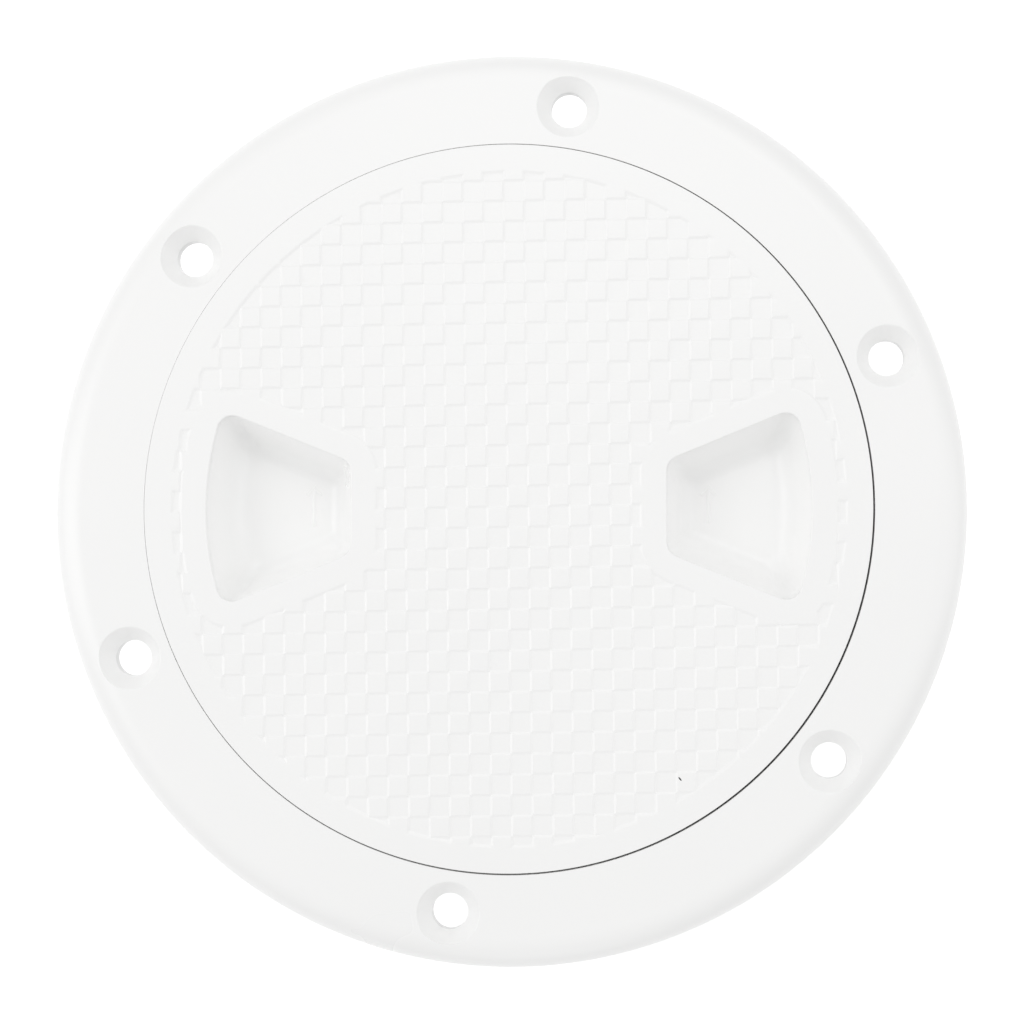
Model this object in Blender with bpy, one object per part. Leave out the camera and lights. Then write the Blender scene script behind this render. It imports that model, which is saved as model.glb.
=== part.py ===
"""Round screw-out deck inspection plate, 102 mm (4 inch) clear opening.

Three pieces: a mounting ring with a threaded collar, a flush lid that screws
down into it, and the O-ring that seals the lid's rim on the ring's seat.

Frame: metres, +Z up, origin at the centre of the collar's lower rim. The deck
would lie against the underside of the flange. The lid's two finger wells lie
along X.
"""
import bpy
import bmesh
import math
from mathutils import Matrix

# ---------------------------------------------------------------- dimensions
MM = 0.001
SEG = 72                      # facets round every turned surface, vertices on the axes

# heights, measured up from the collar's lower rim
TOP = 22.0                    # flush top of flange and lid
FLANGE_T = 4.5                # flange thickness
FLANGE_UNDER = TOP - FLANGE_T
RIM_UNDER = 19.4              # underside of the lid's disc and rim
SEAT = 16.2                   # O-ring seat in the ring's rebate
NECK_UNDER = 15.4             # lower end of the lid's O-ring neck
SKIRT_BOTTOM = 2.0            # lower rim of the lid's skirt

# mounting ring, radii
FLANGE_R = 71.35              # 143 mm (5 5/8 in) over the flange
EDGE_RUN = 5.0                # the outer edge rolls over across this width
EDGE_DROP = 4.0               # and down this far, above a short upright land
REBATE_R = 56.66              # mouth that takes the lid's rim
COLLAR_SHOULDER_R = 58.2      # passes a 117.5 mm (4 5/8 in) cut-out
COLLAR_R = 55.4
BORE_R = 52.8                 # thread root
RING_CREST_R = 51.2           # thread crest
TOP_EDGE = 0.35               # small broken edge at the parting gap

# screw holes: No. 10 countersunk screws
HOLES = 6
HOLE_PCR = 63.2               # pitch circle radius
HOLE_FIRST = 21.5             # degrees from +X, towards +Y
HOLE_D = 5.56
SINK_D = 9.7
SINK_DEPTH = 2.6

# lid, radii
LID_R = 56.34
NECK_R = 52.0
SKIRT_R = 50.6                # thread root
SKIRT_INNER_R = 48.2
LID_CREST_R = 52.3            # thread crest

# O-ring
SEAL_SECTION_R = 1.3
SEAL_R = 53.6
SEAL_SIDES = 10

# thread, single start, right hand
PITCH = 5.0
THREAD_TURNS = 1.75
ROOT_HALF = 1.3               # half width of a ridge at its root
CREST_HALF = 0.6              # and at its crest
EMBED = 0.7                   # how far a ridge is rooted in its wall
RING_THREAD_Z = 3.2           # middle of the ring's ridge at its lower end
RING_THREAD_START = 0.0       # degrees
LID_THREAD_Z = 3.6
RUN_OUT = 25.0                # degrees over which a ridge rises at each end

# finger wells
WELL_X = 24.5                 # inner edge, upright to X
WELL_R = 46.95                # outer edge, concentric with the lid
WELL_HALF = 7.08              # half width at the inner edge
WELL_SPLAY = 22.2             # degrees, each side
WELL_DEPTH = 9.0
WELL_WALL = 2.4
CORNER_OUT = 2.35
CORNER_IN = 2.4
CORNER_TIGHT = 0.5            # the corners' radii shrink by this share down to the floor
WELL_LIP = 0.7                # the walls stand upright down to here, then lean
DRAFT_SIDE = 1.85             # how far each wall leans in, down to where its fillet starts
DRAFT_IN = 1.72
DRAFT_OUT = 1.75
FILLET_SIDE = 2.2             # how far the fillet runs out on the floor, from where the wall would meet it
FILLET_IN = 2.2
FILLET_OUT = 2.7
FILLET_RISE = 3.2             # and how far up the wall


# ------------------------------------------------------------------- helpers
def clear_scene():
    for ob in list(bpy.data.objects):
        bpy.data.objects.remove(ob, do_unlink=True)
    for me in list(bpy.data.meshes):
        bpy.data.meshes.remove(me)


def material(name, color, roughness):
    mat = bpy.data.materials.new(name)
    mat.use_nodes = True
    bsdf = mat.node_tree.nodes["Principled BSDF"]
    bsdf.inputs["Base Color"].default_value = (*color, 1.0)
    bsdf.inputs["Roughness"].default_value = roughness
    bsdf.inputs["Metallic"].default_value = 0.0
    mat.diffuse_color = (*color, 1.0)
    return mat


def new_object(name, bm):
    """Closed mesh in millimetres to an object in metres, faces pointing out."""
    bmesh.ops.remove_doubles(bm, verts=bm.verts, dist=1e-4)
    bmesh.ops.recalc_face_normals(bm, faces=bm.faces)
    bm.transform(Matrix.Scale(MM, 4))
    me = bpy.data.meshes.new(name)
    bm.to_mesh(me)
    bm.free()
    ob = bpy.data.objects.new(name, me)
    bpy.context.scene.collection.objects.link(ob)
    return ob


def turned(name, profile, closed=True):
    """Spin a profile of (radius, height) about Z. A closed profile makes a ring;
    an open one starts and ends on the axis and makes a solid."""
    bm = bmesh.new()
    columns = []
    poles = {}
    for i in range(SEG):
        a = 2.0 * math.pi * i / SEG
        column = []
        for k, (r, z) in enumerate(profile):
            if r < 1e-9:
                if k not in poles:
                    poles[k] = bm.verts.new((0.0, 0.0, z))
                column.append(poles[k])
            else:
                column.append(bm.verts.new((r * math.cos(a), r * math.sin(a), z)))
        columns.append(column)
    last = len(profile) if closed else len(profile) - 1
    for i in range(SEG):
        a, b = columns[i], columns[(i + 1) % SEG]
        for k in range(last):
            m = (k + 1) % len(profile)
            ring = []
            for v in (a[k], b[k], b[m], a[m]):
                if v not in ring:
                    ring.append(v)
            bm.faces.new(ring)
    return new_object(name, bm)


def helix_ridge(name, root_r, crest_r, z0, start_deg, outward):
    """A trapezoid ridge wound round Z, rising to full height at both ends."""
    bm = bmesh.new()
    step = 360.0 / SEG
    count = int(round(THREAD_TURNS * SEG))
    total = count * step
    base_r = root_r - EMBED if outward else root_r + EMBED
    slope = (ROOT_HALF - CREST_HALF) / abs(crest_r - root_r)
    base_half = ROOT_HALF + slope * EMBED
    rows = []
    for i in range(count + 1):
        turn = i * step
        rise = min(1.0, min(turn, total - turn) / RUN_OUT)
        tip = root_r + (crest_r - root_r) * (0.12 + 0.88 * rise)
        tip_half = ROOT_HALF - slope * abs(tip - root_r)
        a = math.radians(start_deg + turn)
        z = z0 + PITCH * turn / 360.0
        row = []
        for r, dz in ((base_r, -base_half), (tip, -tip_half), (tip, tip_half), (base_r, base_half)):
            row.append(bm.verts.new((r * math.cos(a), r * math.sin(a), z + dz)))
        rows.append(row)
    for lower, upper in zip(rows[:-1], rows[1:]):
        for k in range(4):
            m = (k + 1) % 4
            bm.faces.new((lower[k], lower[m], upper[m], upper[k]))
    bm.faces.new(rows[0])
    bm.faces.new(list(reversed(rows[-1])))
    return new_object(name, bm)


def cone_stack(name, x, y, levels, sides=24):
    """A round cutter through (radius, height) levels, highest first."""
    bm = bmesh.new()
    rings = []
    for r, z in levels:
        rings.append([bm.verts.new((x + r * math.cos(2 * math.pi * i / sides),
                                    y + r * math.sin(2 * math.pi * i / sides), z))
                      for i in range(sides)])
    for upper, lower in zip(rings[:-1], rings[1:]):
        for i in range(sides):
            m = (i + 1) % sides
            bm.faces.new((upper[i], upper[m], lower[m], lower[i]))
    bm.faces.new(rings[0])
    bm.faces.new(list(reversed(rings[-1])))
    return new_object(name, bm)


def well_outline(side, inner, outer, grow_corner=0.0, tight=0.0, arc_steps=10, corner_steps=4):
    """Plan of a finger well at +X, pulled in by side, inner and outer (negative
    grows it). Points run anticlockwise from the lower end of the outer arc."""
    t = math.tan(math.radians(WELL_SPLAY))
    c = math.cos(math.radians(WELL_SPLAY))
    s = math.sin(math.radians(WELL_SPLAY))
    x_in = WELL_X + inner
    r_out = WELL_R - outer
    r1 = max(CORNER_OUT * (1 - tight) + grow_corner, 0.6)
    r2 = max(CORNER_IN * (1 - tight) + grow_corner, 0.6)
    half0 = WELL_HALF - WELL_X * t - side / c      # side line: y = half0 + t * x

    # outer corner: touches the side line and the outer arc
    k = half0 - r1 / c
    reach = r_out - r1
    qa, qb, qc = 1 + t * t, 2 * k * t, k * k - reach * reach
    cx = (-qb + math.sqrt(qb * qb - 4 * qa * qc)) / (2 * qa)
    cy = k + t * cx
    arc_end = math.atan2(cy, cx)
    # inner corner: touches the side line and the inner edge
    dx = x_in + r2
    dy = half0 + t * dx - r2 / c
    upper = []
    for i in range(arc_steps // 2 + 1):
        a = arc_end * 2 * i / arc_steps
        upper.append((r_out * math.cos(a), r_out * math.sin(a)))
    side_dir = math.radians(90.0 + WELL_SPLAY)     # outward normal of the side line
    for i in range(1, corner_steps + 1):
        a = arc_end + (side_dir - arc_end) * i / corner_steps
        upper.append((cx + r1 * math.cos(a), cy + r1 * math.sin(a)))
    for i in range(corner_steps + 1):
        a = side_dir + (math.pi - side_dir) * i / corner_steps
        upper.append((dx + r2 * math.cos(a), dy + r2 * math.sin(a)))
    lower = [(x, -y) for x, y in reversed(upper[1:])]
    return lower + upper


def loft(name, levels, flip):
    """Closed solid through outlines of equal point count, highest first."""
    bm = bmesh.new()
    rings = []
    for outline, z in levels:
        rings.append([bm.verts.new((-x if flip else x, -y if flip else y, z)) for x, y in outline])
    for upper, lower in zip(rings[:-1], rings[1:]):
        n = len(upper)
        for i in range(n):
            m = (i + 1) % n
            bm.faces.new((upper[i], upper[m], lower[m], lower[i]))
    bm.faces.new(rings[0])
    bm.faces.new(list(reversed(rings[-1])))
    return new_object(name, bm)


def well_levels(wall):
    """Outlines of a well's wall surface from the top to the floor; wall = 0 is
    the inside surface, and a thickness gives the outside surface."""
    floor = TOP - WELL_DEPTH
    start = floor + FILLET_RISE
    lip = TOP - WELL_LIP
    drafts = (DRAFT_SIDE, DRAFT_IN, DRAFT_OUT)
    feet = [d * (1 + FILLET_RISE / (lip - start)) for d in drafts]
    ends = [f + r for f, r in zip(feet, (FILLET_SIDE, FILLET_IN, FILLET_OUT))]
    levels = []

    def level(pulls, z):
        tight = CORNER_TIGHT * pulls[1] / ends[1]
        levels.append((well_outline(*(p - wall for p in pulls), wall, tight), z))

    if wall:
        level((0.0, 0.0, 0.0), RIM_UNDER + 0.8)
    else:
        level((0.0, 0.0, 0.0), TOP + 1.0)
        level((0.0, 0.0, 0.0), lip)
    level(drafts, start - wall * 0.4)
    steps = 4
    for i in range(1, steps + 1):
        t = i / steps                            # a parabola, tangent to the wall and to the floor
        level([d * (1 - t) ** 2 + f * 2 * t * (1 - t) + e * t * t for d, f, e in zip(drafts, feet, ends)],
              floor - wall + (FILLET_RISE + wall * 0.6) * (1 - t) ** 2)
    return levels


def combine(target, other, operation):
    """Boolean with the exact solver, applied, and the second shape removed."""
    mod = target.modifiers.new(operation.lower(), "BOOLEAN")
    mod.solver = "EXACT"
    mod.operation = operation
    mod.object = other
    dg = bpy.context.evaluated_depsgraph_get()
    me = bpy.data.meshes.new_from_object(target.evaluated_get(dg))
    target.modifiers.clear()
    old = target.data
    target.data = me
    bpy.data.meshes.remove(old)
    old = other.data
    bpy.data.objects.remove(other, do_unlink=True)
    bpy.data.meshes.remove(old)


def finish(ob, name, mat, angle=35.0):
    ob.name = name
    ob.data.name = name
    ob.data.materials.clear()
    ob.data.materials.append(mat)
    bm = bmesh.new()
    bm.from_mesh(ob.data)
    bmesh.ops.remove_doubles(bm, verts=bm.verts, dist=2e-6)
    bmesh.ops.dissolve_degenerate(bm, edges=bm.edges, dist=1e-6)
    bm.to_mesh(ob.data)
    bm.free()
    ob.data.shade_smooth()
    ob.data.set_sharp_from_angle(angle=math.radians(angle))


# ------------------------------------------------------------- mounting ring
def make_ring(mat):
    profile = [
        (BORE_R, 0.0), (COLLAR_R - 0.4, 0.0), (COLLAR_R, 0.4),
        (COLLAR_R, 11.4), (COLLAR_SHOULDER_R, 13.4), (COLLAR_SHOULDER_R, FLANGE_UNDER),
        (FLANGE_R, FLANGE_UNDER), (FLANGE_R, TOP - EDGE_DROP)]
    steps = 5
    for i in range(1, steps + 1):
        a = math.radians(90.0 * i / steps)
        profile.append((FLANGE_R - EDGE_RUN * (1 - math.cos(a)),
                        TOP - EDGE_DROP * (1 - math.sin(a))))
    profile += [
        (REBATE_R + TOP_EDGE, TOP), (REBATE_R, TOP - TOP_EDGE), (REBATE_R, SEAT),
        (BORE_R + 0.5, SEAT), (BORE_R, SEAT - 0.5)]
    ring = turned("ring_body", profile)
    ridge = helix_ridge("ring_thread", BORE_R, RING_CREST_R, RING_THREAD_Z,
                        RING_THREAD_START, outward=False)
    combine(ring, ridge, "UNION")
    for i in range(HOLES):
        a = math.radians(HOLE_FIRST + 360.0 * i / HOLES)
        slope = (SINK_D - HOLE_D) / 2 / SINK_DEPTH
        cutter = cone_stack("screw_hole", HOLE_PCR * math.cos(a), HOLE_PCR * math.sin(a),
                            [(SINK_D / 2 + slope * 1.0, TOP + 1.0),
                             (HOLE_D / 2, TOP - SINK_DEPTH),
                             (HOLE_D / 2, FLANGE_UNDER - 1.0)])
        combine(ring, cutter, "DIFFERENCE")
    finish(ring, "mounting_ring", mat)
    return ring


# ----------------------------------------------------------------------- lid
def make_lid(mat):
    profile = [
        (0.0, TOP), (LID_R - TOP_EDGE, TOP), (LID_R, TOP - TOP_EDGE), (LID_R, RIM_UNDER),
        (NECK_R, RIM_UNDER), (NECK_R, NECK_UNDER), (SKIRT_R, NECK_UNDER - 1.0),
        (SKIRT_R, SKIRT_BOTTOM + 0.5), (SKIRT_R - 0.5, SKIRT_BOTTOM),
        (SKIRT_INNER_R, SKIRT_BOTTOM), (SKIRT_INNER_R, RIM_UNDER), (0.0, RIM_UNDER)]
    lid = turned("lid_body", profile, closed=False)
    # the lid's ridge lies midway between the turns of the ring's ridge
    lag = 360.0 * (LID_THREAD_Z - RING_THREAD_Z - PITCH / 2) / PITCH
    lag = round(lag / (360.0 / SEG)) * (360.0 / SEG)
    z0 = RING_THREAD_Z + PITCH / 2 + PITCH * lag / 360.0
    ridge = helix_ridge("lid_thread", SKIRT_R, LID_CREST_R, z0,
                        RING_THREAD_START + lag, outward=True)
    combine(lid, ridge, "UNION")
    for flip in (False, True):
        combine(lid, loft("well_shell", well_levels(WELL_WALL), flip), "UNION")
    for flip in (False, True):
        combine(lid, loft("well_hollow", well_levels(0.0), flip), "DIFFERENCE")
    finish(lid, "lid", mat)
    return lid


# ---------------------------------------------------------------------- seal
def make_seal(mat):
    mid = SEAT + 0.3 + SEAL_SECTION_R
    profile = [(SEAL_R + SEAL_SECTION_R * math.cos(2 * math.pi * (i + 0.5) / SEAL_SIDES),
                mid + SEAL_SECTION_R * math.sin(2 * math.pi * (i + 0.5) / SEAL_SIDES))
               for i in range(SEAL_SIDES)]
    seal = turned("seal_body", profile)
    finish(seal, "o_ring_seal", mat, angle=60.0)
    return seal


def main():
    clear_scene()
    white = material("white_abs", (0.90, 0.90, 0.89), 0.32)
    lid_white = material("white_abs_lid", (0.90, 0.90, 0.89), 0.35)
    rubber = material("black_rubber", (0.02, 0.02, 0.02), 0.65)
    ring = make_ring(white)
    seal = make_seal(rubber)
    lid = make_lid(lid_white)
    # the lid and its seal move on the plate's axis: an empty marks it
    axis = bpy.data.objects.new("lid_axis", None)
    axis.empty_display_size = 0.03
    bpy.context.scene.collection.objects.link(axis)
    for ob in (seal, lid):
        ob.parent = axis
    return ring, seal, lid


main()
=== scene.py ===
"""Looks for the round screw-out deck inspection plate: fine meshes, materials, light and camera.

Lengths are worked in millimetres in the plate's own frame and scaled to metres at the end.
"""

import math

import bpy
import bmesh
import numpy as np
from mathutils import Matrix, Vector
from mathutils.geometry import delaunay_2d_cdt


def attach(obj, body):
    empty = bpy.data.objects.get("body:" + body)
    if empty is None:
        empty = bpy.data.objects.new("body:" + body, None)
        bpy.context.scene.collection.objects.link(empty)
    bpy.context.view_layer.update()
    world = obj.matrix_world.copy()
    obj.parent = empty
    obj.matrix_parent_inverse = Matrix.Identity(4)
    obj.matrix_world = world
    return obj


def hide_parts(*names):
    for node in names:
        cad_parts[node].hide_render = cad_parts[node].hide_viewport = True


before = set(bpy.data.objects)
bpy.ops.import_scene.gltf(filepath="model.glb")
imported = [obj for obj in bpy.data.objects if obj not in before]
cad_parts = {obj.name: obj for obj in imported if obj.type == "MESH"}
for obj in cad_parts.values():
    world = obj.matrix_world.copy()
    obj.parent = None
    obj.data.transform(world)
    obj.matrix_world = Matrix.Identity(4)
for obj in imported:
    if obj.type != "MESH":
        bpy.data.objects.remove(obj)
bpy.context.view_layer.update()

# ------------------------------------------------------------ driving sizes
MM = 0.001
SEG = 360

TOP = 22.0
FLANGE_UNDER = 17.5
RIM_UNDER = 19.4
SEAT = 16.2
NECK_UNDER = 15.4
SKIRT_BOTTOM = 2.0

FLANGE_R = 71.35
EDGE_RUN = 5.0
EDGE_DROP = 4.0
REBATE_R = 56.66
COLLAR_SHOULDER_R = 58.2
COLLAR_R = 55.4
BORE_R = 52.8
RING_CREST_R = 51.2

HOLES = 6
HOLE_PCR = 63.2
HOLE_FIRST = 21.5
HOLE_D = 5.56
SINK_D = 9.7
SINK_DEPTH = 2.6
SINK_EDGE = 0.3

LID_R = 56.34
NECK_R = 52.0
SKIRT_R = 50.6
SKIRT_INNER_R = 48.2
LID_CREST_R = 52.3
RIM_EDGE = 0.12                # rounding of the lid's rim
MOUTH_EDGE = 0.06              # and of the ring's mouth
RIM_PLAY = (-0.130, 0.076)     # the shut lid sits off centre in its rebate, by its play
RIM_GROWTH = 0.158             # and the rim is that much larger than the CAD solid's
SPLIT = 0.6                   # the lid's top layer is built apart, down to this depth

SEAL_SECTION_R = 1.3
SEAL_R = 53.6

PITCH = 5.0
THREAD_TURNS = 1.75
ROOT_HALF = 1.3
CREST_HALF = 0.6
EMBED = 0.7
RING_THREAD_Z = 3.2
LID_THREAD_Z = 3.6
RUN_OUT = 25.0

WELL_X = 24.5
WELL_R = 46.95
WELL_HALF = 7.08
WELL_SPLAY = 22.2
WELL_DEPTH = 9.0
WELL_WALL = 2.4
CORNER_OUT = 2.35
CORNER_IN = 2.4
CORNER_TIGHT = 0.5            # the corners' radii shrink by this share down to the floor
DRAFT_SIDE = 1.85             # how far each wall leans in, down to where its fillet starts
DRAFT_IN = 1.72
DRAFT_OUT = 1.75
FILLET_SIDE = 2.2             # how far the fillet runs out on the floor, from where the wall would meet it
FILLET_IN = 2.2
FILLET_OUT = 2.7
FILLET_RISE = 3.2             # and how far up the wall
WELL_EDGE = 0.2               # rounding of the wells' mouths

# non-skid field: flush squares between sunk ones
SQUARE = 3.175                # 1/8 in
GRID_X, GRID_Y = -0.125, 0.07 # a crossing of the grid's lines
GRID_TURN = 0.71              # degrees, against the wells
FIELD_R = 52.55
BORDER = 3.8                  # smooth border round each well
SUNK = 0.2                    # depth of the sunk squares
SLOPE = 0.55                  # width of the sloping sides, rounded at top and foot
OUTSET = 0.215                # how far the slopes reach out of the flush squares' cells
SLOPE_STEPS = 4


# ------------------------------------------------------------- mesh helpers
def to_object(name, bm, merge=2e-4):
    bmesh.ops.remove_doubles(bm, verts=bm.verts, dist=merge)
    bmesh.ops.recalc_face_normals(bm, faces=bm.faces)
    me = bpy.data.meshes.new(name)
    bm.to_mesh(me)
    bm.free()
    ob = bpy.data.objects.new(name, me)
    bpy.context.scene.collection.objects.link(ob)
    return ob


def rounded(points, closed=True, seg=6):
    """Corner points (r, z, fillet radius) to a profile with its corners rounded."""
    out = []
    n = len(points)
    for i, (x, y, rad) in enumerate(points):
        if rad <= 0 or (not closed and i in (0, n - 1)):
            out.append((x, y))
            continue
        p = Vector((x, y))
        a = Vector(points[i - 1][:2]) - p
        b = Vector(points[(i + 1) % n][:2]) - p
        la, lb = a.length, b.length
        a.normalize()
        b.normalize()
        half = a.angle(b) / 2
        t = min(rad / math.tan(half), 0.49 * la, 0.49 * lb)
        rad = t * math.tan(half)
        c = p + (a + b).normalized() * (rad / math.sin(half))
        v0, v1 = p + a * t - c, p + b * t - c
        total = v0.angle(v1)
        k = max(2, round(seg * total / (math.pi / 2)))
        for j in range(k + 1):
            s = j / k
            v = (v0 * math.sin((1 - s) * total) + v1 * math.sin(s * total)) / math.sin(total)
            out.append((c.x + v.x, c.y + v.y))
    return out


def turned(name, profile, closed=True, seg=SEG):
    """Spin (radius, height) about Z. An open profile gets a flat cap at each end."""
    bm = bmesh.new()
    columns = []
    for i in range(seg):
        a = 2 * math.pi * i / seg
        ca, sa = math.cos(a), math.sin(a)
        columns.append([bm.verts.new((r * ca, r * sa, z)) for r, z in profile])
    n = len(profile)
    for i in range(seg):
        a, b = columns[i], columns[(i + 1) % seg]
        for k in range(n if closed else n - 1):
            m = (k + 1) % n
            bm.faces.new((a[k], b[k], b[m], a[m]))
    if not closed:
        bm.faces.new([c[0] for c in columns])
        bm.faces.new([c[-1] for c in reversed(columns)])
    return to_object(name, bm)


def helix_ridge(name, root_r, crest_r, z0, start_deg, outward):
    """Trapezoid thread ridge with softened crest corners, rising at both ends."""
    bm = bmesh.new()
    step = 360.0 / SEG
    count = int(round(THREAD_TURNS * SEG))
    total = count * step
    base_r = root_r - EMBED if outward else root_r + EMBED
    slope = (ROOT_HALF - CREST_HALF) / abs(crest_r - root_r)
    base_half = ROOT_HALF + slope * EMBED
    rows = []
    for i in range(count + 1):
        turn = i * step
        rise = min(1.0, min(turn, total - turn) / RUN_OUT)
        rise = rise * rise * (3 - 2 * rise)
        tip = root_r + (crest_r - root_r) * (0.12 + 0.88 * rise)
        tip_half = ROOT_HALF - slope * abs(tip - root_r)
        soft = min(0.25, abs(tip - root_r) * 0.4)
        near = tip - soft if outward else tip + soft
        near_half = ROOT_HALF - slope * abs(near - root_r)
        a = math.radians(start_deg + turn)
        z = z0 + PITCH * turn / 360.0
        row = []
        for r, dz in ((base_r, -base_half), (near, -near_half), (tip, -(tip_half - soft)),
                      (tip, tip_half - soft), (near, near_half), (base_r, base_half)):
            row.append(bm.verts.new((r * math.cos(a), r * math.sin(a), z + dz)))
        rows.append(row)
    for lower, upper in zip(rows[:-1], rows[1:]):
        for k in range(6):
            m = (k + 1) % 6
            bm.faces.new((lower[k], lower[m], upper[m], upper[k]))
    bm.faces.new(rows[0])
    bm.faces.new(list(reversed(rows[-1])))
    return to_object(name, bm)


def loft(name, levels, flip=False):
    """Closed solid through outlines of equal point count, highest first."""
    bm = bmesh.new()
    rings = [[bm.verts.new((-x if flip else x, -y if flip else y, z)) for x, y in outline]
             for outline, z in levels]
    n = len(rings[0])
    for upper, lower in zip(rings[:-1], rings[1:]):
        for i in range(n):
            m = (i + 1) % n
            bm.faces.new((upper[i], upper[m], lower[m], lower[i]))
    bm.faces.new(rings[0])
    bm.faces.new(list(reversed(rings[-1])))
    return to_object(name, bm)


def combine(target, other, operation):
    mod = target.modifiers.new(operation.lower(), "BOOLEAN")
    mod.solver = "EXACT"
    mod.operation = operation
    mod.object = other
    dg = bpy.context.evaluated_depsgraph_get()
    me = bpy.data.meshes.new_from_object(target.evaluated_get(dg))
    target.modifiers.clear()
    old = target.data
    target.data = me
    bpy.data.meshes.remove(old)
    old = other.data
    bpy.data.objects.remove(other, do_unlink=True)
    bpy.data.meshes.remove(old)


def well_outline(side, inner, outer, grow=0.0, tight=0.0, arc_steps=40, side_steps=10, corner_steps=10):
    """Plan of a finger well at +X, pulled in by side, inner and outer (negative grows it)."""
    t = math.tan(math.radians(WELL_SPLAY))
    c = math.cos(math.radians(WELL_SPLAY))
    x_in = WELL_X + inner
    r_out = WELL_R - outer
    r1 = max(CORNER_OUT * (1 - tight) + grow, 0.6)
    r2 = max(CORNER_IN * (1 - tight) + grow, 0.6)
    half0 = WELL_HALF - WELL_X * t - side / c
    k = half0 - r1 / c
    reach = r_out - r1
    qa, qb, qc = 1 + t * t, 2 * k * t, k * k - reach * reach
    cx = (-qb + math.sqrt(qb * qb - 4 * qa * qc)) / (2 * qa)
    cy = k + t * cx
    arc_end = math.atan2(cy, cx)
    dx = x_in + r2
    dy = half0 + t * dx - r2 / c
    upper = []
    for i in range(arc_steps // 2 + 1):
        a = arc_end * 2 * i / arc_steps
        upper.append((r_out * math.cos(a), r_out * math.sin(a)))
    normal = math.radians(90.0 + WELL_SPLAY)
    for i in range(1, corner_steps + 1):
        a = arc_end + (normal - arc_end) * i / corner_steps
        upper.append((cx + r1 * math.cos(a), cy + r1 * math.sin(a)))
    x0, y0 = upper[-1]
    x1, y1 = dx + r2 * math.cos(normal), dy + r2 * math.sin(normal)
    for i in range(1, side_steps):
        s = i / side_steps
        upper.append((x0 + (x1 - x0) * s, y0 + (y1 - y0) * s))
    for i in range(corner_steps + 1):
        a = normal + (math.pi - normal) * i / corner_steps
        upper.append((dx + r2 * math.cos(a), dy + r2 * math.sin(a)))
    for i in range(1, side_steps // 2):
        s = 1 - i / (side_steps // 2)
        upper.append((x_in, dy * s))
    upper.append((x_in, 0.0))
    lower = [(x, -y) for x, y in reversed(upper[1:-1])]
    return lower + upper


def grown(offset):
    """The well's mouth outline grown outwards by offset."""
    return well_outline(-offset, -offset, -offset, offset)


def well_levels(wall):
    """Outlines from above the mouth down to the floor; wall > 0 gives the shell round it."""
    floor = TOP - WELL_DEPTH
    start = floor + FILLET_RISE
    top = TOP - SPLIT - 0.1
    drafts = (DRAFT_SIDE, DRAFT_IN, DRAFT_OUT)
    feet = [d * (1 + FILLET_RISE / (top - start)) for d in drafts]
    ends = [f + r for f, r in zip(feet, (FILLET_SIDE, FILLET_IN, FILLET_OUT))]
    levels = []

    def level(pulls, z):
        tight = CORNER_TIGHT * pulls[1] / ends[1]
        levels.append((well_outline(*(p - wall for p in pulls), wall, tight), z))

    if wall:
        level((0.0, 0.0, 0.0), RIM_UNDER + 0.8)
    else:
        level((0.0, 0.0, 0.0), TOP + 1.0)
        level((0.0, 0.0, 0.0), top)
        for i in range(1, 6):
            s = i / 6.0
            level([d * s for d in drafts], top - (top - start) * s)
    level(drafts, start - wall * 0.4)
    steps = 12
    for i in range(1, steps + 1):
        t = i / steps                            # a parabola, tangent to the wall and to the floor
        level([d * (1 - t) ** 2 + f * 2 * t * (1 - t) + e * t * t for d, f, e in zip(drafts, feet, ends)],
              floor - wall + (FILLET_RISE + wall * 0.6) * (1 - t) ** 2)
    return levels


def smooth(ob, angle=32.0):
    me = ob.data
    me.transform(Matrix.Scale(MM, 4))
    me.update()
    me.shade_smooth()
    me.set_sharp_from_angle(angle=math.radians(angle))
    mod = ob.modifiers.new("weighted", "WEIGHTED_NORMAL")
    mod.mode = "FACE_AREA"
    mod.keep_sharp = True
    mod.weight = 60


def close_tees(bm, merge, reach=2e-3):
    """Splits an open edge at each vertex that lies on it, and merges the two."""
    for _ in range(4):
        loose = [e for e in bm.edges if len(e.link_faces) == 1]
        ends = {v for e in loose for v in e.verts}
        splits = []
        for e in loose:
            a, b = e.verts
            d = b.co - a.co
            for v in ends:
                if v is a or v is b:
                    continue
                t = (v.co - a.co).dot(d) / max(d.length_squared, 1e-12)
                if 0.0 < t < 1.0 and (a.co + d * t - v.co).length < reach:
                    splits.append((e, a, t, v.co.copy()))
                    break
        if not splits:
            return
        for e, a, t, co in splits:
            new = bmesh.utils.edge_split(e, a, t)[1]
            new.co = co
        bmesh.ops.remove_doubles(bm, verts=bm.verts, dist=merge)


def tidy(ob, merge=2e-4):
    """Merges touching vertices and returns how many edges aren't shared by two faces."""
    bm = bmesh.new()
    bm.from_mesh(ob.data)
    bmesh.ops.remove_doubles(bm, verts=bm.verts, dist=merge)
    bmesh.ops.dissolve_degenerate(bm, edges=bm.edges, dist=1e-4)
    loose = [v for v in bm.verts if not v.link_faces]
    bmesh.ops.delete(bm, geom=loose, context="VERTS")
    close_tees(bm, merge)
    bmesh.ops.recalc_face_normals(bm, faces=bm.faces)
    bad = sum(1 for e in bm.edges if len(e.link_faces) != 2)
    tris = sum(len(f.verts) - 2 for f in bm.faces)
    bm.to_mesh(ob.data)
    bm.free()
    print(f"{ob.name}: {tris} triangles, {bad} open edges")
    return bad


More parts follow.
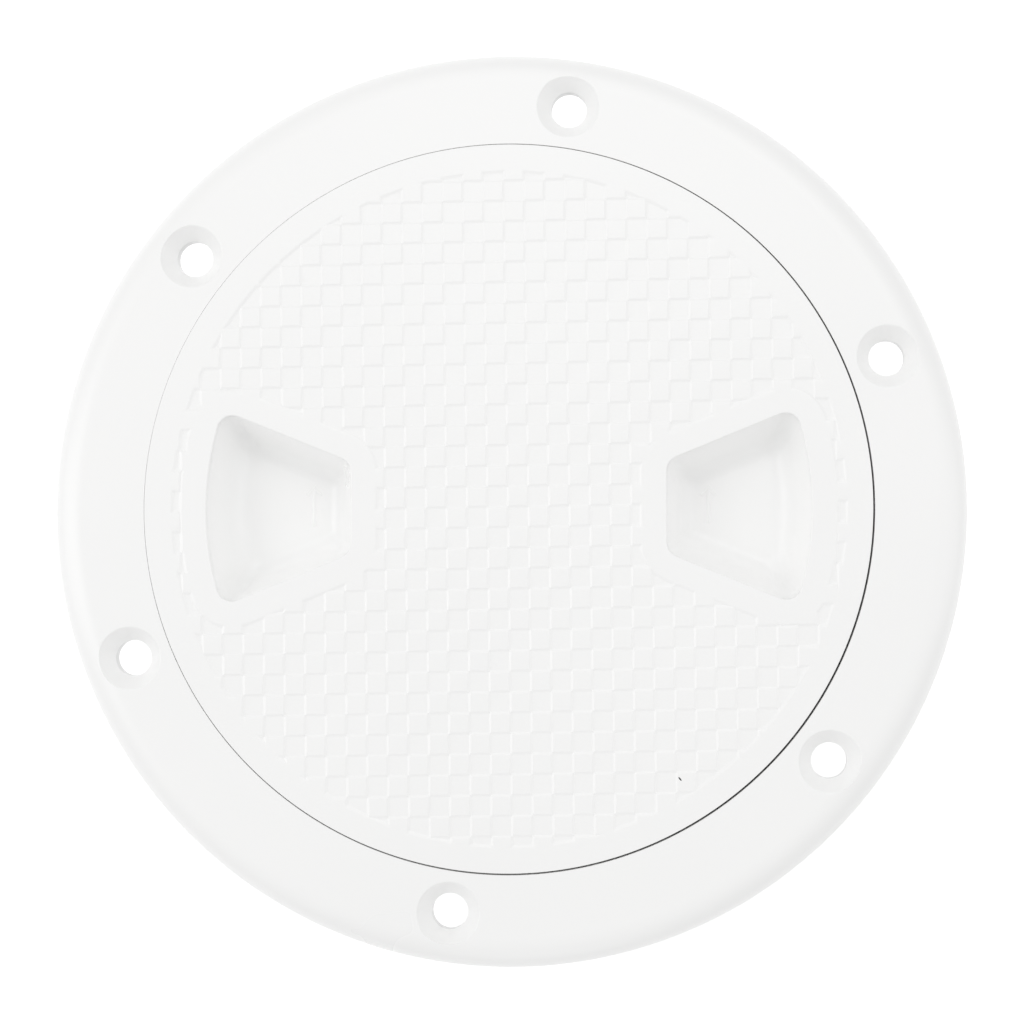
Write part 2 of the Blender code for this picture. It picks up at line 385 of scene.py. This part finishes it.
# ------------------------------------------------------------ mounting ring
def make_ring():
    points = [
        (BORE_R, 0.0, 0.3), (COLLAR_R, 0.0, 0.4), (COLLAR_R, 11.4, 0.8),
        (COLLAR_SHOULDER_R, 13.4, 0.8), (COLLAR_SHOULDER_R, FLANGE_UNDER, 0.4),
        (FLANGE_R, FLANGE_UNDER, 0.2)]
    profile = rounded(points + [(FLANGE_R, TOP, 0.0)], closed=True)[:-1]
    steps = 22
    for i in range(steps + 1):
        a = math.radians(90.0 * i / steps)
        profile.append((FLANGE_R - EDGE_RUN * (1 - math.cos(a)),
                        TOP - EDGE_DROP * (1 - math.sin(a))))
    mouth = rounded([(FLANGE_R - EDGE_RUN, TOP, 0), (REBATE_R, TOP, MOUTH_EDGE), (REBATE_R, SEAT, 0.3),
                     (BORE_R, SEAT, 0.4), (BORE_R, 0.0, 0)], closed=False)
    profile += mouth[1:-1]
    ring = turned("mounting_ring_moulded", profile)
    ridge = helix_ridge("ring_thread", BORE_R, RING_CREST_R, RING_THREAD_Z, 0.0, outward=False)
    combine(ring, ridge, "UNION")
    slope = (SINK_D - HOLE_D) / 2 / SINK_DEPTH
    cone = math.atan(slope)                      # half angle of the countersink
    for i in range(HOLES):
        a = math.radians(HOLE_FIRST + 360.0 * i / HOLES)
        # rounded mouth: an arc tangent to the flat top and to the cone
        turn = math.pi / 2 - cone
        t = SINK_EDGE * math.tan(turn / 2)
        levels = []
        r_tan = SINK_D / 2 + t
        for j in range(7):
            b = turn * j / 6
            levels.append((r_tan - SINK_EDGE * math.sin(b),
                           TOP - SINK_EDGE * (1 - math.cos(b)) + (0.002 if j == 0 else 0.0)))
        levels = [(r_tan, TOP + 1.0)] + levels
        levels += [(HOLE_D / 2 + 0.12, TOP - SINK_DEPTH + 0.12 / slope), (HOLE_D / 2 + 0.03, TOP - SINK_DEPTH + 0.02),
                   (HOLE_D / 2, TOP - SINK_DEPTH - 0.1), (HOLE_D / 2, FLANGE_UNDER + 0.15),
                   (HOLE_D / 2 + 0.25, FLANGE_UNDER - 0.1), (HOLE_D / 2 + 0.25, FLANGE_UNDER - 1.0)]
        cx, cy = HOLE_PCR * math.cos(a), HOLE_PCR * math.sin(a)
        outlines = [([(cx + r * math.cos(2 * math.pi * k / 72 + a), cy + r * math.sin(2 * math.pi * k / 72 + a))
                      for k in range(72)], z) for r, z in levels]
        combine(ring, loft("hole", outlines), "DIFFERENCE")
    tidy(ring)
    smooth(ring)
    return ring


# ---------------------------------------------------------------------- lid
def signed_distance(points, polygon):
    """Distance from points to a closed polygon, negative inside."""
    p = np.asarray(points, float)
    q = np.asarray(polygon, float)
    e = np.roll(q, -1, 0) - q
    d = p[:, None, :] - q[None]
    s = np.clip((d * e[None]).sum(2) / np.maximum((e * e).sum(1), 1e-12)[None], 0, 1)
    near = d - s[..., None] * e[None]
    dist = np.sqrt((near ** 2).sum(2)).min(1)
    y0, y1 = q[:, 1][None], np.roll(q[:, 1], -1)[None]
    x0, ex = q[:, 0][None], e[:, 0][None]
    py, px = p[:, 1][:, None], p[:, 0][:, None]
    straddle = (y0 > py) != (y1 > py)
    ey = np.where(np.abs(y1 - y0) < 1e-12, 1e-12, y1 - y0)
    cross = straddle & (px < x0 + ex * (py - y0) / ey)
    inside = cross.sum(1) % 2 == 1
    return np.where(inside, -dist, dist)


def circle(r, n=SEG):
    return [(r * math.cos(2 * math.pi * i / n), r * math.sin(2 * math.pi * i / n)) for i in range(n)]


def on_grid(u, w):
    """Plan point of the grid coordinates (u, w), counted in squares."""
    a = math.radians(GRID_TURN)
    return (GRID_X + SQUARE * (u * math.cos(a) - w * math.sin(a)),
            GRID_Y + SQUARE * (u * math.sin(a) + w * math.cos(a)))


def flipped(outline):
    return [(-x, -y) for x, y in outline]


def top_surface(bm):
    """The lid's flat top with its sunk squares, as triangles in one sheet."""
    verts, edges = [], []

    def add_loop(loop):
        start = len(verts)
        verts.extend(loop)
        n = len(loop)
        edges.extend((start + i, start + (i + 1) % n) for i in range(n))

    add_loop(circle(LID_R - RIM_EDGE))
    for flip in (False, True):
        turn = flipped if flip else list
        add_loop(turn(grown(WELL_EDGE)))
        for k in range(SLOPE_STEPS + 1):
            add_loop(turn(grown(BORDER + SLOPE * k / SLOPE_STEPS)))
    for k in range(SLOPE_STEPS + 1):
        add_loop(circle(FIELD_R - SLOPE * k / SLOPE_STEPS))

    border = [np.array(grown(BORDER)), np.array(flipped(grown(BORDER)))]
    reach = int(FIELD_R / SQUARE) + 2
    lines = []
    for i in range(-reach, reach):
        for j in range(-reach, reach):
            if (i + j) % 2:
                continue
            for n in range(SLOPE_STEPS + 1):
                k = (SLOPE * n / SLOPE_STEPS - OUTSET) / SQUARE
                loop = [on_grid(i + a, j + b) for a, b in ((k, k), (1 - k, k), (1 - k, 1 - k), (k, 1 - k))]
                lines.extend(zip(loop, loop[1:] + loop[:1]))
    # only the stretches that lie in the field, run on a little past its edge
    lines = np.array(lines)
    steps = np.linspace(0, 1, 41)
    along = lines[:, 0, None, :] * (1 - steps)[None, :, None] + lines[:, 1, None, :] * steps[None, :, None]
    flat = along.reshape(-1, 2)
    ok = np.hypot(flat[:, 0], flat[:, 1]) < FIELD_R + 0.3
    for b in border:
        near = np.hypot(flat[:, 0] - b[:, 0].mean(), flat[:, 1] - b[:, 1].mean()) < 24
        ok[near] &= signed_distance(flat[near], b) > -0.3
    ok = ok.reshape(len(lines), -1)
    for points, row in zip(along, ok):
        kept = np.flatnonzero(row)
        if len(kept) > 1:
            start = len(verts)
            verts.extend([tuple(points[kept[0]]), tuple(points[kept[-1]])])
            edges.append((start, start + 1))
    out = delaunay_2d_cdt([Vector(v) for v in verts], edges, [], 0, 1e-5)
    pts = np.array([(v.x, v.y) for v in out[0]])
    tris = [f for f in out[2]]

    # height of each point
    cg, sg = math.cos(math.radians(GRID_TURN)), math.sin(math.radians(GRID_TURN))
    gx, gy = pts[:, 0] - GRID_X, pts[:, 1] - GRID_Y
    u = (gx * cg + gy * sg) / SQUARE
    w = (gy * cg - gx * sg) / SQUARE
    fu, fw = np.floor(u), np.floor(w)
    du = np.minimum(u - fu, fu + 1 - u) * SQUARE
    dw = np.minimum(w - fw, fw + 1 - w) * SQUARE
    inward = np.where((fu + fw) % 2 == 0, 1, -1) * np.minimum(du, dw)      # into the flush square
    square = np.clip((inward + OUTSET) / SLOPE, 0, 1)
    inward = FIELD_R - np.hypot(pts[:, 0], pts[:, 1])
    for b in border:
        inward = np.minimum(inward, signed_distance(pts, b))
    edge = np.clip(1 - inward / SLOPE, 0, 1)
    s = np.maximum(square, edge)
    s = np.where(s < 0.04, 0.0, np.where(s > 0.96, 1.0, s))
    z = TOP - SUNK * (1 - s * s * (3 - 2 * s))

    mouths = [np.array(grown(WELL_EDGE)), np.array(flipped(grown(WELL_EDGE)))]
    mid = np.array([pts[list(f)].mean(0) for f in tris])
    keep = np.hypot(mid[:, 0], mid[:, 1]) < LID_R - RIM_EDGE
    for m in mouths:
        keep &= signed_distance(mid, m) > 0
    used = {}
    for f, k in zip(tris, keep):
        if not k:
            continue
        face = []
        for v in f:
            if v not in used:
                used[v] = bm.verts.new((pts[v, 0], pts[v, 1], z[v]))
            face.append(used[v])
        bm.faces.new(face)


def strip(bm, levels, flip=False):
    """Quads between successive outlines, left open at both ends."""
    rings = [[bm.verts.new((-x if flip else x, -y if flip else y, z)) for x, y in outline]
             for outline, z in levels]
    n = len(rings[0])
    for a, b in zip(rings[:-1], rings[1:]):
        for i in range(n):
            m = (i + 1) % n
            bm.faces.new((a[i], a[m], b[m], b[i]))


def arrow(name, x, y, length, z, height=0.12, barb=1.3):
    """A plain arrow on a well's floor, rooted in it: one raised line with two
    short slanting barbs at its +Y end."""
    def plan(half, h, b):
        tip = b - 1.414 * half
        right = [(half, -h), (half, h - 3.83 * half), (tip, h - b - 1.414 * half), (b, h - b), (0.0, h)]
        left = [(-px, py) for px, py in right[:-1]]
        return [(x + px, y + py) for px, py in right + left[::-1]]
    h = length / 2
    return loft(name, [(plan(0.07, h - 0.2, barb - 0.12), z + height), (plan(0.18, h - 0.1, barb - 0.06), z + height * 0.7),
                       (plan(0.31, h, barb), z), (plan(0.31, h, barb), z - 0.8)])


def make_lid():
    low = TOP - SPLIT
    profile = rounded([
        (LID_R, low, 0), (LID_R, RIM_UNDER, 0.25), (NECK_R, RIM_UNDER, 0.3), (NECK_R, NECK_UNDER, 0.3),
        (SKIRT_R, NECK_UNDER - 1.0, 0.3), (SKIRT_R, SKIRT_BOTTOM, 0.5), (SKIRT_INNER_R, SKIRT_BOTTOM, 0.5),
        (SKIRT_INNER_R, RIM_UNDER, 0.8), (SKIRT_INNER_R - 2.0, RIM_UNDER, 0)], closed=False)
    lid = turned("lid_moulded", profile, closed=False)
    lag = 360.0 * (LID_THREAD_Z - RING_THREAD_Z - PITCH / 2) / PITCH
    lag = round(lag / 5.0) * 5.0
    z0 = RING_THREAD_Z + PITCH / 2 + PITCH * lag / 360.0
    combine(lid, helix_ridge("lid_thread", SKIRT_R, LID_CREST_R, z0, lag, outward=True), "UNION")
    for flip in (False, True):
        combine(lid, loft("well_shell", well_levels(WELL_WALL), flip), "UNION")
    for flip in (False, True):
        combine(lid, loft("well_hollow", well_levels(0.0), flip), "DIFFERENCE")
    floor = TOP - WELL_DEPTH
    combine(lid, arrow("arrow_right", 31.0, 0.68, 5.95, floor), "UNION")
    combine(lid, arrow("arrow_left", -31.85, 0.64, 6.5, floor), "UNION")

    # open the top of this lower body and close it with the finished top layer
    bm = bmesh.new()
    bm.from_mesh(lid.data)
    lids = [f for f in bm.faces if all(abs(v.co.z - low) < 1e-4 for v in f.verts)]
    bmesh.ops.delete(bm, geom=lids, context="FACES")
    steps = 7
    rim = [(circle(LID_R), low)]
    for i in range(steps + 1):
        a = math.radians(90.0 * i / steps)
        rim.append((circle(LID_R - RIM_EDGE * (1 - math.cos(a))), TOP - RIM_EDGE * (1 - math.sin(a))))
    strip(bm, rim)
    mouth = [(grown(0.0), low)]
    for i in range(steps + 1):
        a = math.radians(90.0 * i / steps)
        mouth.append((grown(WELL_EDGE * (1 - math.cos(a))), TOP - WELL_EDGE * (1 - math.sin(a))))
    strip(bm, mouth)
    strip(bm, mouth, flip=True)
    top_surface(bm)
    bm.to_mesh(lid.data)
    bm.free()
    tidy(lid)
    co = np.empty(len(lid.data.vertices) * 3)
    lid.data.vertices.foreach_get("co", co)
    co = co.reshape(-1, 3)
    r = np.hypot(co[:, 0], co[:, 1])
    k = np.clip((r - FIELD_R - 0.4) / (LID_R - FIELD_R - 0.8), 0, 1) * (co[:, 2] > RIM_UNDER - 0.3)
    co[:, 0] += k * (RIM_PLAY[0] + RIM_GROWTH * co[:, 0] / np.maximum(r, 1))
    co[:, 1] += k * (RIM_PLAY[1] + RIM_GROWTH * co[:, 1] / np.maximum(r, 1))
    lid.data.vertices.foreach_set("co", co.ravel())
    smooth(lid)
    return lid


# ------------------------------------------------------------------- O-ring
def make_seal():
    mid = SEAT + 0.3 + SEAL_SECTION_R
    n = 28
    profile = [(SEAL_R + SEAL_SECTION_R * math.cos(2 * math.pi * i / n),
                mid + SEAL_SECTION_R * math.sin(2 * math.pi * i / n)) for i in range(n)]
    # moulding flash: a hair of a line round the inside and the outside
    for i in (0, n // 2):
        r, z = profile[i]
        profile[i] = (r + (-0.02 if i == 0 else 0.02), z)
    seal = turned("o_ring_rubber", profile, seg=240)
    tidy(seal)
    smooth(seal, angle=60)
    return seal


# ---------------------------------------------------------------- materials
def tree(name):
    mat = bpy.data.materials.new(name)
    mat.use_nodes = True
    nt = mat.node_tree
    bsdf = nt.nodes["Principled BSDF"]
    return mat, nt, bsdf


def white_plastic(name, color, roughness, speck=None, bore_painted_shade=None, well_painted_light=None, edge=None):
    mat, nt, bsdf = tree(name)
    bsdf.inputs["Metallic"].default_value = 0.0
    bsdf.inputs["IOR"].default_value = 1.5
    coord = nt.nodes.new("ShaderNodeTexCoord")
    # slow unevenness of the moulding, in colour and in gloss
    slow = nt.nodes.new("ShaderNodeTexNoise")
    slow.inputs["Scale"].default_value = 28.0
    slow.inputs["Detail"].default_value = 3.0
    nt.links.new(coord.outputs["Object"], slow.inputs["Vector"])
    ramp = nt.nodes.new("ShaderNodeMapRange")
    ramp.inputs["From Min"].default_value = 0.3
    ramp.inputs["From Max"].default_value = 0.7
    ramp.inputs["To Min"].default_value = 0.0
    ramp.inputs["To Max"].default_value = 1.0
    nt.links.new(slow.outputs["Fac"], ramp.inputs["Value"])
    mix = nt.nodes.new("ShaderNodeMix")
    mix.data_type = "RGBA"
    mix.inputs["A"].default_value = (*[c * 0.994 for c in color], 1)
    mix.inputs["B"].default_value = (*[min(1.0, c * 1.004) for c in color], 1)
    nt.links.new(ramp.outputs["Result"], mix.inputs["Factor"])
    last = mix.outputs["Result"]

    def fade(value, start, end, tone):
        """Mixes the colour so far towards tone, as value goes from start to end."""
        ramp = nt.nodes.new("ShaderNodeMapRange")
        ramp.interpolation_type = "SMOOTHSTEP"
        ramp.inputs["From Min"].default_value = start
        ramp.inputs["From Max"].default_value = end
        ramp.inputs["To Min"].default_value = 0.0
        ramp.inputs["To Max"].default_value = 1.0
        nt.links.new(value, ramp.inputs["Value"])
        blend = nt.nodes.new("ShaderNodeMix")
        blend.data_type = "RGBA"
        blend.inputs["B"].default_value = (tone, tone, tone * 0.995, 1)
        nt.links.new(ramp.outputs["Result"], blend.inputs["Factor"])
        nt.links.new(last, blend.inputs["A"])
        return blend.outputs["Result"]
    if well_painted_light:
        # painted light: the wells' walls, and a little less their floors, are coloured whiter than the top, going
        # down, to lift the shade in them
        sep = nt.nodes.new("ShaderNodeSeparateXYZ")
        nt.links.new(coord.outputs["Object"], sep.inputs["Vector"])
        for start, end, tone in well_painted_light:
            last = fade(sep.outputs["Z"], start, end, tone)
    if edge:
        # painted shade: the rounded outer edge is coloured a little darker, where less light reaches it
        sep = nt.nodes.new("ShaderNodeSeparateXYZ")
        nt.links.new(coord.outputs["Object"], sep.inputs["Vector"])
        flat = nt.nodes.new("ShaderNodeCombineXYZ")
        nt.links.new(sep.outputs["X"], flat.inputs["X"])
        nt.links.new(sep.outputs["Y"], flat.inputs["Y"])
        radius = nt.nodes.new("ShaderNodeVectorMath")
        radius.operation = "LENGTH"
        nt.links.new(flat.outputs["Vector"], radius.inputs[0])
        last = fade(radius.outputs["Value"], *edge)
    if speck:
        # one speck of dirt: a short dark dash on the surface
        (ax, ay), (bx, by), width = speck
        sep = nt.nodes.new("ShaderNodeSeparateXYZ")
        nt.links.new(coord.outputs["Object"], sep.inputs["Vector"])
        cx, cy = (ax + bx) / 2, (ay + by) / 2
        length = math.hypot(bx - ax, by - ay)
        ca, sa = (bx - ax) / length, (by - ay) / length

        def axis(mx, my, scale):
            m1 = nt.nodes.new("ShaderNodeMath")
            m1.operation = "MULTIPLY_ADD"
            nt.links.new(sep.outputs["X"], m1.inputs[0])
            m1.inputs[1].default_value = mx / scale
            m1.inputs[2].default_value = -(cx * mx + cy * my) / scale
            m2 = nt.nodes.new("ShaderNodeMath")
            m2.operation = "MULTIPLY_ADD"
            nt.links.new(sep.outputs["Y"], m2.inputs[0])
            m2.inputs[1].default_value = my / scale
            nt.links.new(m1.outputs[0], m2.inputs[2])
            sq = nt.nodes.new("ShaderNodeMath")
            sq.operation = "POWER"
            ab = nt.nodes.new("ShaderNodeMath")
            ab.operation = "ABSOLUTE"
            nt.links.new(m2.outputs[0], ab.inputs[0])
            nt.links.new(ab.outputs[0], sq.inputs[0])
            sq.inputs[1].default_value = 2.0
            return sq.outputs[0]
        along = axis(ca, sa, length / 2 + width / 2)
        across = axis(-sa, ca, width / 2)
        add = nt.nodes.new("ShaderNodeMath")
        add.operation = "ADD"
        nt.links.new(along, add.inputs[0])
        nt.links.new(across, add.inputs[1])
        edge = nt.nodes.new("ShaderNodeMapRange")
        edge.inputs["From Min"].default_value = 0.7
        edge.inputs["From Max"].default_value = 1.5
        edge.inputs["To Min"].default_value = 1.0
        edge.inputs["To Max"].default_value = 0.0
        nt.links.new(add.outputs[0], edge.inputs["Value"])
        # only on the top face, not through the wall below it
        high = nt.nodes.new("ShaderNodeMath")
        high.operation = "GREATER_THAN"
        nt.links.new(sep.outputs["Z"], high.inputs[0])
        high.inputs[1].default_value = 0.0212
        gate = nt.nodes.new("ShaderNodeMath")
        gate.operation = "MULTIPLY"
        nt.links.new(edge.outputs["Result"], gate.inputs[0])
        nt.links.new(high.outputs[0], gate.inputs[1])
        dirt = nt.nodes.new("ShaderNodeMix")
        dirt.data_type = "RGBA"
        dirt.inputs["B"].default_value = (0.05, 0.05, 0.05, 1)
        nt.links.new(gate.outputs[0], dirt.inputs["Factor"])
        nt.links.new(last, dirt.inputs["A"])
        last = dirt.outputs["Result"]
    if bore_painted_shade:
        # painted shade: the bores of the screw holes, below their countersinks, are coloured darker than the rest,
        # where shade falls in them
        (r0, r1), (z0, z1), tone = bore_painted_shade
        sep = nt.nodes.new("ShaderNodeSeparateXYZ")
        nt.links.new(coord.outputs["Object"], sep.inputs["Vector"])
        flat = nt.nodes.new("ShaderNodeCombineXYZ")
        nt.links.new(sep.outputs["X"], flat.inputs["X"])
        nt.links.new(sep.outputs["Y"], flat.inputs["Y"])
        radius = nt.nodes.new("ShaderNodeVectorMath")
        radius.operation = "LENGTH"
        nt.links.new(flat.outputs["Vector"], radius.inputs[0])
        gate = None
        for value, limit, operation in ((radius.outputs["Value"], r0, "GREATER_THAN"), (radius.outputs["Value"], r1, "LESS_THAN"),
                                        (sep.outputs["Z"], z0, "GREATER_THAN"), (sep.outputs["Z"], z1, "LESS_THAN")):
            test = nt.nodes.new("ShaderNodeMath")
            test.operation = operation
            nt.links.new(value, test.inputs[0])
            test.inputs[1].default_value = limit
            if gate is None:
                gate = test.outputs[0]
                continue
            both = nt.nodes.new("ShaderNodeMath")
            both.operation = "MULTIPLY"
            nt.links.new(gate, both.inputs[0])
            nt.links.new(test.outputs[0], both.inputs[1])
            gate = both.outputs[0]
        bore_shade_mix = nt.nodes.new("ShaderNodeMix")
        bore_shade_mix.data_type = "RGBA"
        bore_shade_mix.inputs["B"].default_value = (tone, tone, tone, 1)
        nt.links.new(gate, bore_shade_mix.inputs["Factor"])
        nt.links.new(last, bore_shade_mix.inputs["A"])
        last = bore_shade_mix.outputs["Result"]
    nt.links.new(last, bsdf.inputs["Base Color"])
    gloss = nt.nodes.new("ShaderNodeMapRange")
    gloss.inputs["From Min"].default_value = 0.3
    gloss.inputs["From Max"].default_value = 0.7
    gloss.inputs["To Min"].default_value = roughness - 0.03
    gloss.inputs["To Max"].default_value = roughness + 0.03
    nt.links.new(slow.outputs["Fac"], gloss.inputs["Value"])
    nt.links.new(gloss.outputs["Result"], bsdf.inputs["Roughness"])
    # fine moulded texture
    fine = nt.nodes.new("ShaderNodeTexNoise")
    fine.inputs["Scale"].default_value = 2600.0
    fine.inputs["Detail"].default_value = 2.0
    nt.links.new(coord.outputs["Object"], fine.inputs["Vector"])
    bump = nt.nodes.new("ShaderNodeBump")
    bump.inputs["Strength"].default_value = 0.06
    bump.inputs["Distance"].default_value = 0.00005
    nt.links.new(fine.outputs["Fac"], bump.inputs["Height"])
    nt.links.new(bump.outputs["Normal"], bsdf.inputs["Normal"])
    return mat


def black_rubber():
    mat, nt, bsdf = tree("black_rubber")
    bsdf.inputs["Metallic"].default_value = 0.0
    bsdf.inputs["IOR"].default_value = 1.5
    coord = nt.nodes.new("ShaderNodeTexCoord")
    noise = nt.nodes.new("ShaderNodeTexNoise")
    noise.inputs["Scale"].default_value = 900.0
    noise.inputs["Detail"].default_value = 4.0
    nt.links.new(coord.outputs["Object"], noise.inputs["Vector"])
    mix = nt.nodes.new("ShaderNodeMix")
    mix.data_type = "RGBA"
    mix.inputs["A"].default_value = (0.016, 0.016, 0.017, 1)
    mix.inputs["B"].default_value = (0.030, 0.030, 0.031, 1)
    nt.links.new(noise.outputs["Fac"], mix.inputs["Factor"])
    nt.links.new(mix.outputs["Result"], bsdf.inputs["Base Color"])
    rough = nt.nodes.new("ShaderNodeMapRange")
    rough.inputs["To Min"].default_value = 0.5
    rough.inputs["To Max"].default_value = 0.72
    nt.links.new(noise.outputs["Fac"], rough.inputs["Value"])
    nt.links.new(rough.outputs["Result"], bsdf.inputs["Roughness"])
    bump = nt.nodes.new("ShaderNodeBump")
    bump.inputs["Strength"].default_value = 0.25
    bump.inputs["Distance"].default_value = 0.00005
    nt.links.new(noise.outputs["Fac"], bump.inputs["Height"])
    nt.links.new(bump.outputs["Normal"], bsdf.inputs["Normal"])
    return mat


# ------------------------------------------------------------------- pieces
WHITE = (0.96, 0.96, 0.955)
# painted shade: the bores below the ring's countersinks are coloured darker
# painted shade: the ring's rounded outer edge is coloured darker
ring_white = white_plastic("white_abs_ring", WHITE, 0.3, bore_painted_shade=((0.0602, 0.0662), (0.0176, 0.01935), 0.78),
                           edge=(0.0672, 0.0712, 0.90))
# painted light in the lid's wells: their walls and floors are coloured whiter than the top
lid_white = white_plastic("white_abs_lid", WHITE, 0.3, well_painted_light=((0.0216, 0.0206, 0.985), (0.0142, 0.0131, 0.97)),
                          speck=((0.02623, -0.04176), (0.02653, -0.04212), 0.00022))
rubber = black_rubber()

ring = make_ring()
ring.data.materials.append(ring_white)
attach(ring, "ring")
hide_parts("mounting_ring")

lid = make_lid()
lid.data.materials.append(lid_white)
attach(lid, "lid")
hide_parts("lid")

seal = make_seal()
seal.data.materials.append(rubber)
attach(seal, "seal")
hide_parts("o_ring_seal")


# -------------------------------------------------------------------- stage
def make_floor():
    me = bpy.data.meshes.new("floor")
    s = 4.0
    me.from_pydata([(-s, -s, 0), (s, -s, 0), (s, s, 0), (-s, s, 0)], [], [(0, 1, 2, 3)])
    ob = bpy.data.objects.new("floor", me)
    bpy.context.scene.collection.objects.link(ob)
    mat, nt, bsdf = tree("pale_floor")
    bsdf.inputs["Base Color"].default_value = (0.94, 0.94, 0.94, 1)
    bsdf.inputs["Roughness"].default_value = 0.9
    bsdf.inputs["Specular IOR Level"].default_value = 0.1
    bsdf.inputs["Emission Color"].default_value = (1, 1, 1, 1)
    bsdf.inputs["Emission Strength"].default_value = 0.29
    me.materials.append(mat)
    return ob


def softbox(name, azimuth, elevation, watts):
    """A round softbox 1.2 m from the plate, facing it."""
    data = bpy.data.lights.new(name, "AREA")
    data.shape = "DISK"
    data.size = 0.6
    data.energy = watts
    ob = bpy.data.objects.new(name, data)
    bpy.context.scene.collection.objects.link(ob)
    a, e = math.radians(azimuth), math.radians(elevation)
    away = 1.2 * Vector((math.cos(e) * math.cos(a), math.cos(e) * math.sin(a), math.sin(e)))
    ob.location = away + Vector((0, 0, 0.02))
    ob.rotation_euler = (-away).to_track_quat("-Z", "Y").to_euler()
    return ob


make_floor()
world = bpy.data.worlds.new("studio")
bpy.context.scene.world = world
world.use_nodes = True
world.node_tree.nodes["Background"].inputs["Color"].default_value = (1, 1, 1, 1)
world.node_tree.nodes["Background"].inputs["Strength"].default_value = 0.63
for name, azimuth, elevation, watts in (
        ("left", 180, 45, 1.62), ("low_left", 180, 20, 1.25), ("back", 90, 45, 0.77), ("high_back", 90, 68, 0.86),
        ("high_left", 135, 68, 0.40), ("high_right", 45, 60, 0.68), ("right", 0, 45, 0.61), ("low_right", 0, 20, 0.87),
        ("low_front", 270, 20, 0.62)):
    softbox(name, azimuth, elevation, watts)

# ------------------------------------------------------------------- camera
cam_data = bpy.data.cameras.new("camera")
cam_data.sensor_width = 36.0
cam_data.lens = 1943.8 / 1024.0 * 36.0
cam_data.shift_x = -0.1385
cam_data.shift_y = 0.0160
cam_data.clip_start = 0.01
cam_data.clip_end = 20.0
cam = bpy.data.objects.new("camera", cam_data)
bpy.context.scene.collection.objects.link(cam)
cam.location = (0.02733, -0.01374, 0.322)    # nearly straight above, a little right of the centre and in front
cam.rotation_euler = [math.radians(a) for a in (1.975, 0.932, -0.196)]
bpy.context.scene.camera = cam
bpy.context.scene.view_settings.view_transform = "Standard"
bpy.context.scene.view_settings.look = "None"
